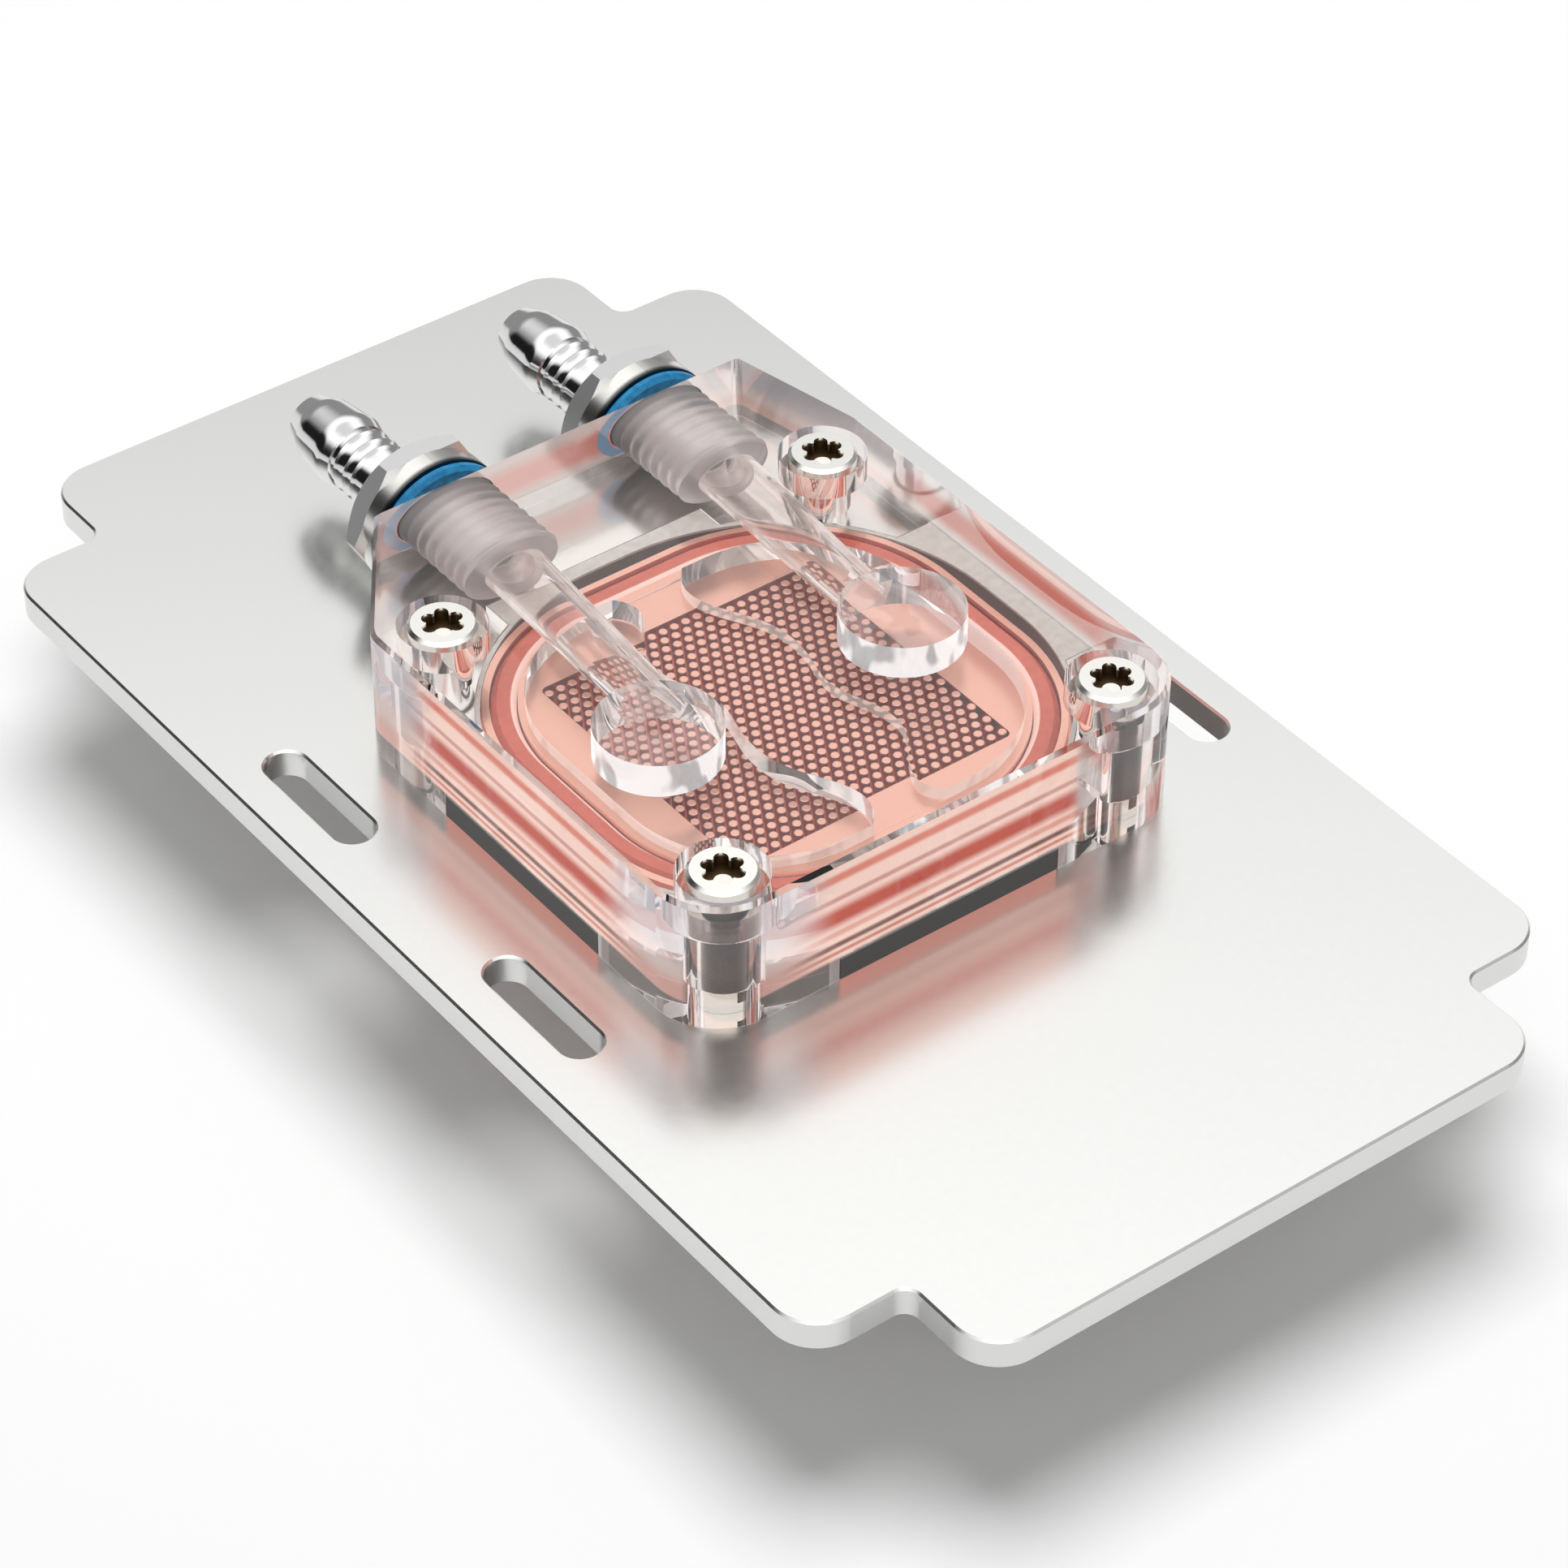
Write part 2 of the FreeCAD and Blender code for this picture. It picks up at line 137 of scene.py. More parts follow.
# Cavities in the clear block
CHAMBER_HEIGHT = 2.7 * MM
CHAMBER_X = 49.4 * MM
CHAMBER_Y = 47.6 * MM
LAND_START = 0.2 * MM
POCKET_X = {"left": -16.2 * MM, "right": 17.1 * MM}
POCKET_Y = -5.4 * MM
POCKET_RADIUS = 7.3 * MM
THREAD_BORE_RADIUS = 6.7 * MM
BORE_END_GAP = 0.25 * MM
CHANNEL_REACH = 4.6 * MM

# How far off a wall the look outwards starts that tells an outer wall from an inner one
PROBE = 0.05 * MM

# The finishes' soft noise: its grains, its bumps, and its rings on turned metal
PLATE_GRAIN = 0.9 * MM
COPPER_GRAIN = 1.4 * MM
MOTTLE_GRAIN = 1.1 * MM
RUBBER_GRAIN = 0.15 * MM
FRAME_GRAIN = 0.2 * MM
TUBE_GRAIN = 0.5 * MM
CHROME_GRAIN = 0.4 * MM
CUT_PATCH = 3.0 * MM
BUMP_HEIGHT = 0.02 * MM
BUMP_STRENGTH = 0.3
MOTTLE_EDGE = (0.3, 0.7)
TURNED_STRETCH = (1, 8, 1)
TURNED_SPREAD = 0.03

# From here on, lengths are in millimetres, as Graph.place gives a place on a piece.
# Distances over which a finish changes: the painted shade below the copper's deck, the painted
# highlight inwards over the main seal, the painted shade along the port's axis over the washer,
# and the roughness past the hexagon
PIN_SHADE_EDGE = (0.06, 0.5)
SEAL_BEVEL_EDGE = (0.7, 0.85)
WASHER_SHADE_EDGE = (0.15, 0.9)
HEXAGON_EDGE = (0.0, 0.1)
HEXAGON_ROUGHNESS = 0.36
CHROME_ROUGHNESS = 0.08

# Screw heads: the socket's radius, the depths over which its painted shade comes in, and the painted
# highlight at its bottom
SOCKET_RADIUS = 2.65
SOCKET_FADE = (0.15, 0.5)
SOCKET_HIGHLIGHT_RADIUS = 1.0
SOCKET_HIGHLIGHT_DEPTH = 1.5

# Painted reflection of the copper and the seal, as the block's walls would mirror them over the
# frame's bands: height, half width and colour of each stripe, on the near walls and the far ones
NEAR_PAINTED_REFLECTIONS = (
    (7.5, 0.3, (196, 120, 102)),
    (8.6, 0.45, (112, 64, 54)),
    (10.2, 0.5, (214, 150, 134)),
    (12.5, 1.5, (178, 52, 28)),
    (15.0, 0.4, (196, 140, 130)),
    (17.9, 0.7, (210, 118, 98)),
)
FAR_PAINTED_REFLECTIONS = (
    (12.4, 4.2, (190, 98, 82)),
    (6.8, 0.7, (150, 146, 142)),
)
STRIPE_EDGE = (0.3, 1.3)
# Ground colours of the painted reflection: rear wall, near walls, far walls
REAR_GROUND = (184, 162, 156)
NEAR_GROUND = (238, 200, 186)
FAR_GROUND = (218, 214, 211)
WALL_MARGIN = 0.2

# Bands of the frame under the block's walls, and how strongly the walls' painted reflection and
# sheen show
BAND_X = (-15.4, 14.1)
BAND_Y = (-18.0, 10.3)
BAND_RISE = (6.6, 7.0)
BAND_FADE = 9.0
WALL_SHEEN = 0.58
BAND_SHEEN = 0.34
INNER_SHEEN_LOSS = 0.27

# Share of the salmon painted reflection that the carrier plate shows in the frame
FRAME_PAINTED_REFLECTION_SHARE = 0.8

# Painted reflection of the blue seal in the rear wall, as a ring round each port's axis
SEAL_PAINTED_REFLECTION = (84, 118, 148)
SEAL_RING = (6.9, 8.5)
SEAL_RING_FADE = (-1.0, 2.5)
SEAL_RING_SHEEN = 0.75

# Clear windows in the walls' sheen before the screws: the direction across the line of sight,
# and how far off the screw's axis a window ends
SCREW_SIGHT = (0.79, 0.61)
WINDOW_EDGE = (3.2, 4.4)
WINDOW_SHARE = 0.8

# Painted sheen of the block's corners: the colour at the foot, then the heights over which each
# next colour comes in
CORNER_FOOT = (108, 100, 96)
CORNER_SHADES = (
    ((6.4, 6.8), (226, 172, 160)),
    ((8.0, 10.5), (232, 208, 202)),
    ((11.0, 14.0), (204, 198, 204)),
)
CORNER_VEILS = (0.06, 0.6)
CORNER_INNER_VEIL = 0.35

# Cut walls of the block's cavities: how far off face on their painted sheen comes in, and its
# patches
CUT_SLANT = (0.22, 0.42)
CUT_PATCH_EDGE = (0.4, 0.52)
CUT_PATCH_STRETCH = (1.0, 1.0, 0.3)

# Colours, as a screen shows them
WHITE = (255, 255, 255)
BLACK = (0, 0, 0)
FLOOR_PAPER = (245, 245, 245)
PLATE_METAL = (226, 226, 224)
COPPER_TOP = (226, 176, 160)
# painted shade of the copper down in the pin field's recess
COPPER_RECESS_SHADE = (222, 134, 114)
SEAL_ORANGE = (176, 84, 68)
SEAL_ORANGE_DEEP = (164, 74, 58)
# painted highlight on the main seal's inner bevel
SEAL_BEVEL_HIGHLIGHT = (236, 206, 200)
SEAL_BLUE = (38, 140, 192)
SEAL_BLUE_DEEP = (24, 110, 160)
GASKET_PALE = (178, 177, 175)
GASKET_PALE_DEEP = (164, 163, 161)
FRAME_PLASTIC = (66, 66, 64)
# painted reflection of the copper, which the carrier plate shows in the frame
FRAME_PAINTED_REFLECTION = (222, 148, 134)
ACRYLIC = (250, 247, 245)
ACRYLIC_CUT = (250, 244, 242)
ACRYLIC_CUT_SHADOW = (248, 246, 245)
# Light and dark tones of the painted sheen on the cut walls of the block's cavities
POCKET_LIGHT = (246, 246, 247)
POCKET_DARK = (176, 178, 180)
CHANNEL_LIGHT = (216, 200, 194)
CHANNEL_DARK = (196, 178, 172)
LAND_LIGHT = (214, 196, 190)
LAND_DARK = (190, 168, 160)
COLLAR_PLASTIC = (228, 222, 219)
INSERT_PLASTIC = (226, 221, 221)
INSERT_SHADOW = (225, 222, 220)
SCREW_STEEL = (240, 238, 232)
# painted shade down the screws' sockets, and the painted highlight at their bottom
SOCKET_SHADE = (96, 78, 54)
SOCKET_HIGHLIGHT = (250, 248, 240)
TUBE_STEEL = (58, 56, 55)
WASHER_METAL = (228, 226, 222)
WASHER_SHADE = (80, 80, 80)
CHROME = (222, 222, 222)


class Value:
    """One output of a node tree. Arithmetic on it adds Math nodes."""

    def __init__(self, graph, socket):
        self.graph = graph
        self.socket = socket

    def math(self, operation, *values):
        return self.graph.add("ShaderNodeMath", {"operation": operation}, dict(enumerate(values)))

    def __add__(self, other):
        return self.math("ADD", self, other)

    def __radd__(self, other):
        return self.math("ADD", other, self)

    def __sub__(self, other):
        return self.math("SUBTRACT", self, other)

    def __rsub__(self, other):
        return self.math("SUBTRACT", other, self)

    def __mul__(self, other):
        return self.math("MULTIPLY", self, other)

    def __rmul__(self, other):
        return self.math("MULTIPLY", other, self)

    def __truediv__(self, other):
        return self.math("DIVIDE", self, other)

    def __mod__(self, other):
        return self.math("MODULO", self, other)

    def __abs__(self):
        return self.math("ABSOLUTE", self)

    def __lt__(self, other):
        return self.math("LESS_THAN", self, other)

    def __gt__(self, other):
        return self.math("GREATER_THAN", self, other)

    def floor(self):
        return self.math("FLOOR", self)

    def root(self):
        return self.math("SQRT", self)

    def at_least(self, other):
        return self.math("MAXIMUM", self, other)

    def ramp(self, start, end, low=0.0, high=1.0):
        """Smooth step from low at start to high at end."""
        settings = {"interpolation_type": "SMOOTHSTEP"}
        sockets = {0: self, 1: start, 2: end, 3: low, 4: high}
        return self.graph.add("ShaderNodeMapRange", settings, sockets)


class Graph:
    """A node tree being built."""

    def __init__(self, tree):
        self.tree = tree
        tree.nodes.clear()

    def add(self, kind, settings=None, sockets=None, out=0):
        """Adds a node: its settings first, then its sockets' values or links. Gives one output."""
        node = self.tree.nodes.new(kind)
        for name, value in (settings or {}).items():
            setattr(node, name, value)
        for name, value in (sockets or {}).items():
            if isinstance(value, Value):
                self.tree.links.new(value.socket, node.inputs[name])
            else:
                node.inputs[name].default_value = value
        return Value(self, node.outputs[out]) if len(node.outputs) else None

    def blend(self, factor, first, second):
        """Colour between two colours."""
        settings = {"data_type": "RGBA"}
        return self.add("ShaderNodeMix", settings, {0: factor, 6: first, 7: second}, 2)

    def light_path(self, name):
        return self.add("ShaderNodeLightPath", out=name)

    def split(self, vector):
        """The vector's three numbers."""
        node = self.add("ShaderNodeSeparateXYZ", None, {0: vector}).socket.node
        return [Value(self, node.outputs[axis]) for axis in range(3)]

    def place(self):
        """X, Y and Z on the piece, in millimetres."""
        point = self.add("ShaderNodeTexCoord", out="Object")
        return [value * (1 / MM) for value in self.split(point)]

    def noise(self, size, detail=2.0, stretch=(1.0, 1.0, 1.0)):
        """Soft noise from 0 to 1 with grains of about size metres."""
        point = self.add("ShaderNodeTexCoord", out="Object")
        mapped = self.add("ShaderNodeMapping", None, {"Vector": point, "Scale": stretch})
        sockets = {"Vector": mapped, "Scale": 1 / size, "Detail": detail}
        return self.add("ShaderNodeTexNoise", None, sockets)


class Finish(Graph):
    """A material with one principled shader."""

    def __init__(self, name, colour, roughness, **constants):
        self.material = bpy.data.materials.new(name)
        self.material.use_nodes = True
        super().__init__(self.material.node_tree)
        sockets = {"Base Color": colour_of(colour), "Roughness": roughness}
        for key, value in constants.items():
            sockets[key.replace("_", " ").title().replace("Ior", "IOR")] = value
        self.shader = self.add("ShaderNodeBsdfPrincipled", None, sockets)
        self.output = self.tree.nodes.new("ShaderNodeOutputMaterial")
        self.surface(self.shader)

    def surface(self, shader):
        self.tree.links.new(shader.socket, self.output.inputs["Surface"])

    def drive(self, name, value):
        """Lets a value vary over the surface."""
        self.tree.links.new(value.socket, self.shader.socket.node.inputs[name])

    def vary_roughness(self, least, spread, grain):
        """Lets the roughness rise softly and unevenly from the least by up to the spread."""
        self.drive("Roughness", least + self.noise(grain, 3.0) * spread)

    def roughen(self, grain):
        """Fine bumps, as on a moulded piece."""
        sockets = {"Strength": BUMP_STRENGTH, "Distance": BUMP_HEIGHT}
        sockets["Height"] = self.noise(grain)
        self.drive("Normal", self.add("ShaderNodeBump", None, sockets))

    def mix(self, factor, first, second):
        """Shader between two shaders."""
        return self.add("ShaderNodeMixShader", None, {0: factor, 1: first, 2: second})

    def glowing(self, colour, roughness):
        """Shader that shows its colour whatever light falls on it."""
        sockets = {"Base Color": colour_of(BLACK), "Roughness": roughness}
        sockets.update({"Emission Color": colour, "Emission Strength": 1.0})
        return self.add("ShaderNodeBsdfPrincipled", None, sockets)

    def pass_light(self, shader, tint):
        """Shows the shader, but lets the lamp's light through, tinted."""
        clear = self.add("ShaderNodeBsdfTransparent", None, {"Color": colour_of(tint)})
        self.surface(self.mix(self.light_path("Is Shadow Ray"), shader, clear))

    def from_inside(self):
        """1 where the surface is seen from inside the piece, else 0."""
        return self.add("ShaderNodeNewGeometry", out="Backfacing")


def linear(value):
    """Light of a value from 0 to 255, by the standard curve of screens."""
    value = value / 255
    return value / 12.92 if value <= 0.04045 else ((value + 0.055) / 1.055) ** 2.4


def colour_of(rgb):
    """Scene colour from red, green and blue as a screen shows them, 0 to 255."""
    return (*[linear(v) for v in rgb], 1.0)


def make_camera():
    data = bpy.data.cameras.new("camera")
    data.sensor_width = SENSOR_MM
    data.lens = FOCAL_PIXELS / PHOTO_PIXELS * SENSOR_MM
    data.clip_start, data.clip_end = CAMERA_CLIP
    camera = bpy.data.objects.new("camera", data)
    camera.location = Vector(CAMERA_PLACE_MM) * MM
    camera.rotation_euler = [math.radians(angle) for angle in CAMERA_TURN_DEG]
    bpy.context.scene.collection.objects.link(camera)
    bpy.context.scene.camera = camera


def make_world():
    """White to the eye. Metal mirrors a bright ceiling, a grey horizon, the softbox and the
    flag, and rays that have been inside a clear piece meet a soft light all round."""
    world = bpy.data.worlds.new("studio")
    world.use_nodes = True
    graph = Graph(world.node_tree)
    x, y, z = graph.split(graph.add("ShaderNodeTexCoord"))

    def towards(way, spread):
        return (x * way[0] + y * way[1] + z * way[2]).ramp(*spread)

    ceiling = z.ramp(*CEILING_RISE, HORIZON_LEVEL, CEILING_LEVEL)
    ceiling = ceiling * z.ramp(*ZENITH_RISE, 1.0, ZENITH_SHARE)
    flag = towards(FLAG_WAY, FLAG_SPREAD)
    softbox = towards(SOFTBOX_WAY, SOFTBOX_SPREAD)
    seen = ceiling * (1 - flag * FLAG_SHARE) + softbox * SOFTBOX_LEVEL
    through = graph.light_path("Transmission Depth") > 0.5
    seen = seen * (1 - through) + through * z.ramp(*INNER_RISE, *INNER_LEVELS)
    eye = graph.light_path("Is Camera Ray")
    diffuse = graph.light_path("Is Diffuse Ray")
    strength = seen * (1 - diffuse * (1 - FILL_LEVEL))
    strength = strength * (1 - eye) + eye
    sockets = {"Color": colour_of(WHITE), "Strength": strength}
    background = graph.add("ShaderNodeBackground", None, sockets)
    graph.add("ShaderNodeOutputWorld", None, {"Surface": background})
    bpy.context.scene.world = world


def make_key_lamp():
    """Round lamp over the plate. Metal and the clear pieces see the bright ceiling in its
    place, which keeps the view from above in range."""
    data = bpy.data.lights.new("key", "AREA")
    data.shape = "DISK"
    data.size = KEY_SIZE
    data.energy = KEY_WATTS
    lamp = bpy.data.objects.new("key", data)
    lamp.location = KEY_PLACE
    lamp.rotation_euler = (-Vector(KEY_PLACE)).to_track_quat("-Z", "Y").to_euler()
    lamp.visible_glossy = False
    lamp.visible_transmission = False
    bpy.context.scene.collection.objects.link(lamp)


def make_floor():
    """White floor, which glows a little to the eye."""
    mesh = bpy.data.meshes.new("floor")
    half = FLOOR_SIZE / 2
    corners = [(-half, -half), (half, -half), (half, half), (-half, half)]
    mesh.from_pydata([(x, y, -FLOOR_DROP) for x, y in corners], [], [(0, 1, 2, 3)])
    floor = bpy.data.objects.new("floor", mesh)
    bpy.context.scene.collection.objects.link(floor)
    finish = Finish("floor_paper", FLOOR_PAPER, 1.0, specular_ior_level=0.0)
    sockets = {"Color": colour_of(WHITE), "Strength": FLOOR_GLOW}
    glow = finish.add("ShaderNodeEmission", None, sockets)
    lit = finish.add("ShaderNodeAddShader", None, {0: finish.shader, 1: glow})
    finish.surface(finish.mix(finish.light_path("Is Camera Ray"), finish.shader, lit))
    mesh.materials.append(finish.material)


# Finishes


def satin_plate():
    finish = Finish("satin_plate", PLATE_METAL, 0.24, metallic=1.0)
    finish.vary_roughness(least=0.2, spread=0.07, grain=PLATE_GRAIN)
    return finish.material


def copper():
    """Polished copper, with painted shade down in the pin field: redder and darker below the deck.
    """
    finish = Finish("polished_copper", COPPER_TOP, 0.3, metallic=1.0)
    x, y, z = finish.place()
    inside_x = abs(x) < (PIN_FIELD_X / 2 + RECESS_MARGIN) / MM
    inside_y = abs(y - BLOCK_Y_MM) < (PIN_FIELD_Y / 2 + RECESS_MARGIN) / MM
    # painted shade: the pin field's recess turns redder and darker below the deck
    deep = (deck_top / MM - z).ramp(*PIN_SHADE_EDGE) * inside_x * inside_y
    finish.drive("Base Color", finish.blend(deep, colour_of(COPPER_TOP), colour_of(COPPER_RECESS_SHADE)))
    finish.vary_roughness(least=0.26, spread=0.1, grain=COPPER_GRAIN)
    return finish.material


def mottled(finish, colour, deep):
    mottle = finish.noise(MOTTLE_GRAIN, 3.0).ramp(*MOTTLE_EDGE)
    return finish.blend(mottle, colour_of(colour), colour_of(deep))


def rubber(name, colour, deep, roughness):
    finish = Finish(name, colour, roughness, specular_ior_level=0.4)
    finish.drive("Base Color", mottled(finish, colour, deep))
    finish.roughen(RUBBER_GRAIN)
    return finish.material


def orange_seal():
    """Satin silicone with a painted highlight on its inner bevel."""
    finish = Finish("orange_seal", SEAL_ORANGE, 0.38, specular_ior_level=0.4)
    x, y = finish.place()[:2]
    aside = (abs(x) - (SEAL_HALF_X - SEAL_PATH_RADIUS) / MM).at_least(0)
    along = (abs(y - BLOCK_Y_MM) - (SEAL_HALF_Y - SEAL_PATH_RADIUS) / MM).at_least(0)
    inwards = SEAL_PATH_RADIUS / MM - (aside * aside + along * along).root()
    body = mottled(finish, SEAL_ORANGE, SEAL_ORANGE_DEEP)
    # painted highlight: the inner bevel is coloured pale
    bevel = inwards.ramp(*SEAL_BEVEL_EDGE)
    finish.drive("Base Color", finish.blend(bevel, body, colour_of(SEAL_BEVEL_HIGHLIGHT)))
    return finish.material


def dark_frame():
    """Dark plastic to the eye; in the carrier plate, a salmon painted reflection of the copper over
    it.
    """
    finish = Finish("dark_frame", FRAME_PLASTIC, 0.4)
    finish.roughen(FRAME_GRAIN)
    # painted reflection: glossy rays, not through a clear piece, see the frame glow salmon
    mirrored = finish.light_path("Is Glossy Ray") * (1 - finish.light_path("Is Transmission Ray"))
    salmon = finish.glowing(colour_of(FRAME_PAINTED_REFLECTION), roughness=0.5)
    finish.surface(finish.mix(mirrored * FRAME_PAINTED_REFLECTION_SHARE, finish.shader, salmon))
    return finish.material


def clear_finish(name, tint, roughness, ior):
    return Finish(name, tint, roughness, transmission_weight=1.0, ior=ior)


def clear_plastic(name, tint, roughness, ior):
    finish = clear_finish(name, tint, roughness, ior)
    finish.pass_light(finish.shader, tint)
    return finish.material


def milled_wall(name, ior, veils, light, dark):
    """Cut wall of a cavity in the clear block. Seen from inside, it carries a painted sheen, a glow
    of light and dark patches, by the first of the veils face on and by the second at a slant."""
    finish = clear_finish(name, ACRYLIC_CUT, 0.0, ior)
    patches = finish.noise(CUT_PATCH, 1.0, CUT_PATCH_STRETCH).ramp(*CUT_PATCH_EDGE)
    shade = finish.blend(patches, colour_of(dark), colour_of(light))
    # painted sheen: a glow that whitens the cut wall
    painted_sheen = finish.glowing(shade, roughness=0.2)
    slant = finish.add("ShaderNodeLayerWeight", None, {"Blend": 0.5}, "Facing")
    veil = slant.ramp(*CUT_SLANT, *veils) * finish.from_inside()
    finish.pass_light(finish.mix(veil, finish.shader, painted_sheen), ACRYLIC_CUT_SHADOW)
    return finish.material


def axis_of(node):
    """X and Z of a part turned about a port's axis."""
    low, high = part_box(node)
    return (low.x + high.x) / 2, (low.z + high.z) / 2


def painted_stripes(finish, z, ground, stripes):
    """Ground colour with a soft stripe at each height, for a painted reflection."""
    colour = colour_of(ground)
    for height, half, stripe in stripes:
        share = abs(z - height).ramp(half * STRIPE_EDGE[0], half * STRIPE_EDGE[1], 1.0, 0.0)
        colour = finish.blend(share, colour, colour_of(stripe))
    return colour


def between(value, limits):
    """1 between the limits, fading to 0 beyond them."""
    low, high = limits
    return value.ramp(low - BAND_FADE, low) * value.ramp(high, high + BAND_FADE, 1.0, 0.0)


def seal_rings(x, z):
    """1 where the rear wall gets the painted reflection of a port's blue seal, fading to 0 on one
    side.
    """
    rings = 0
    for side in SIDES:
        port_x, port_z = axis_of("port_insert_" + side)
        across = x - port_x / MM
        up = z - port_z / MM
        reach = (across * across + up * up).root()
        ring = (reach > SEAL_RING[0]) * (reach < SEAL_RING[1])
        rings = ring * across.ramp(*SEAL_RING_FADE, 1.0, 0.0) + rings
    return rings


def corner_shade(finish, z):
    """Painted sheen of the clear block's corners by height: grey foot, salmon, pale, then lilac."""
    shade = colour_of(CORNER_FOOT)
    for rise, colour in CORNER_SHADES:
        shade = finish.blend(z.ramp(*rise), shade, colour_of(colour))
    return shade


def painted_reflection_wall():
    """Outer wall of the clear block, with a glowing painted reflection of the copper and the seals.
    """
    finish = clear_finish("painted_reflection_wall", ACRYLIC, 0.0, 1.4)
    x, y, z = finish.place()
    inside = finish.from_inside()
    at_side = abs(x) > cover_high.x / MM - WALL_MARGIN
    rear = painted_stripes(finish, z, REAR_GROUND, FAR_PAINTED_REFLECTIONS)
    far = finish.blend(at_side, rear, painted_stripes(finish, z, FAR_GROUND, FAR_PAINTED_REFLECTIONS))
    colour = finish.blend(inside, painted_stripes(finish, z, NEAR_GROUND, NEAR_PAINTED_REFLECTIONS), far)
    ring = seal_rings(x, z) * inside * (y > cover_high.y / MM - WALL_MARGIN)
    # painted reflection of the blue seals
    colour = finish.blend(ring, colour, colour_of(SEAL_PAINTED_REFLECTION))
    over_band = between(y, BAND_Y) * at_side + between(x, BAND_X) * (1 - at_side)
    over_band = over_band * z.ramp(*BAND_RISE)
    colour = finish.blend(over_band, corner_shade(finish, z), colour)
    amount = over_band * BAND_SHEEN + WALL_SHEEN - inside * INNER_SHEEN_LOSS
    aside = x - SCREW_X_MM
    along = abs(y - BLOCK_Y_MM) - SCREW_Y_MM
    off_axis = abs(aside * SCREW_SIGHT[0] + along * SCREW_SIGHT[1])
    window = off_axis.ramp(*WINDOW_EDGE, WINDOW_SHARE, 0.0)
    amount = amount * (1 - (1 - at_side) * (1 - inside) * window)
    amount = amount * (1 - ring) + ring * SEAL_RING_SHEEN
    # painted reflection and sheen, a glow mixed over the clear acrylic
    wall = finish.mix(amount, finish.shader, finish.glowing(colour, roughness=0.1))
    finish.pass_light(wall, ACRYLIC)
    return finish.material


def corner_wall():
    """Rounded outer wall of the clear block, with the painted pale sheen of a curved polished face.
    """
    finish = clear_finish("corner_wall", ACRYLIC, 0.0, 1.3)
    x, y, z = finish.place()
    inside = finish.from_inside()
    aside = abs(x) - SCREW_X_MM
    along = abs(y - BLOCK_Y_MM) - SCREW_Y_MM
    off_axis = abs(aside * SCREW_SIGHT[0] - along * SCREW_SIGHT[1])
    veil = off_axis.ramp(*WINDOW_EDGE, *CORNER_VEILS) * (1 - inside) + inside * CORNER_INNER_VEIL
    # painted sheen: a glow over the clear acrylic
    sheen = finish.glowing(corner_shade(finish, z), roughness=0.1)
    wall = finish.mix(veil, finish.shader, sheen)
    finish.pass_light(wall, ACRYLIC)
    return finish.material


def wetted_wall():
    """Wall pressed so close to its insert that no gap shows."""
    finish = Finish("wetted_wall", WHITE, 0.0, transmission_weight=1.0)
    finish.surface(finish.add("ShaderNodeBsdfTransparent", None, {"Color": colour_of(WHITE)}))
    return finish.material


def bright_steel():
    """Plated steel, rougher and with painted shade down the screw's socket, and a painted highlight
    at its bottom.
    """
    finish = Finish("bright_steel", SCREW_STEEL, 0.2, metallic=1.0)
    x, y, z = finish.place()
    aside = abs(abs(x) - SCREW_X_MM)
    along = abs(abs(y - BLOCK_Y_MM) - SCREW_Y_MM)
    reach = (aside * aside + along * along).root()
    depth = SCREW_TOP_MM - z
    # painted shade: the socket turns dark brown and rougher below the head's top
    well = depth.ramp(*SOCKET_FADE) * (reach < SOCKET_RADIUS)
    steel = finish.blend(well, colour_of(SCREW_STEEL), colour_of(SOCKET_SHADE))
    # painted highlight: a pale, non-metallic patch at the socket's bottom
    painted_highlight = (depth > SOCKET_HIGHLIGHT_DEPTH) * (reach < SOCKET_HIGHLIGHT_RADIUS)
    finish.drive("Base Color", finish.blend(painted_highlight, steel, colour_of(SOCKET_HIGHLIGHT)))
    finish.drive("Metallic", 1 - painted_highlight)
    finish.drive("Roughness", well * 0.3 + 0.2)
    return finish.material


def turning_marks(finish, size):
    """Fine unevenness of a turned surface, closest along the port's axis."""
    return finish.noise(size, 2.0, TURNED_STRETCH) * TURNED_SPREAD


def dark_tube():
    finish = Finish("dark_tube", TUBE_STEEL, 0.3, metallic=1.0)
    finish.drive("Roughness", 0.3 + turning_marks(finish, TUBE_GRAIN))
    return finish.material


def satin_washer():
    """Turned washer, with painted shade in the corner that faces the blue seal."""
    finish = Finish("satin_washer", WASHER_METAL, 0.24, metallic=1.0)
    y = finish.place()[1]
    face = (washer_rear - WASHER_THICKNESS) / MM
    # painted shade on the washer's front corner
    edge = (y - face).ramp(*WASHER_SHADE_EDGE)
    shade = finish.blend(edge, colour_of(WASHER_SHADE), colour_of(WASHER_METAL))
    finish.drive("Base Color", shade)
    return finish.material


def chrome_barb():
    """Polished chrome on the barb, satin on the machined hexagon."""
    finish = Finish("chrome_barb", CHROME, CHROME_ROUGHNESS, metallic=1.0)
    y = finish.place()[1]
    hexagon_end = (washer_rear + HEXAGON_THICKNESS) / MM
    satin = (y - hexagon_end).ramp(*HEXAGON_EDGE, HEXAGON_ROUGHNESS, CHROME_ROUGHNESS)
    finish.drive("Roughness", satin + turning_marks(finish, CHROME_GRAIN))
    return finish.material


def frosted_thread():
    finish = Finish("frosted_thread", INSERT_PLASTIC, 0.45, transmission_weight=0.85, ior=1.25)
    finish.pass_light(finish.shader, INSERT_SHADOW)
    return finish.material


# Pieces


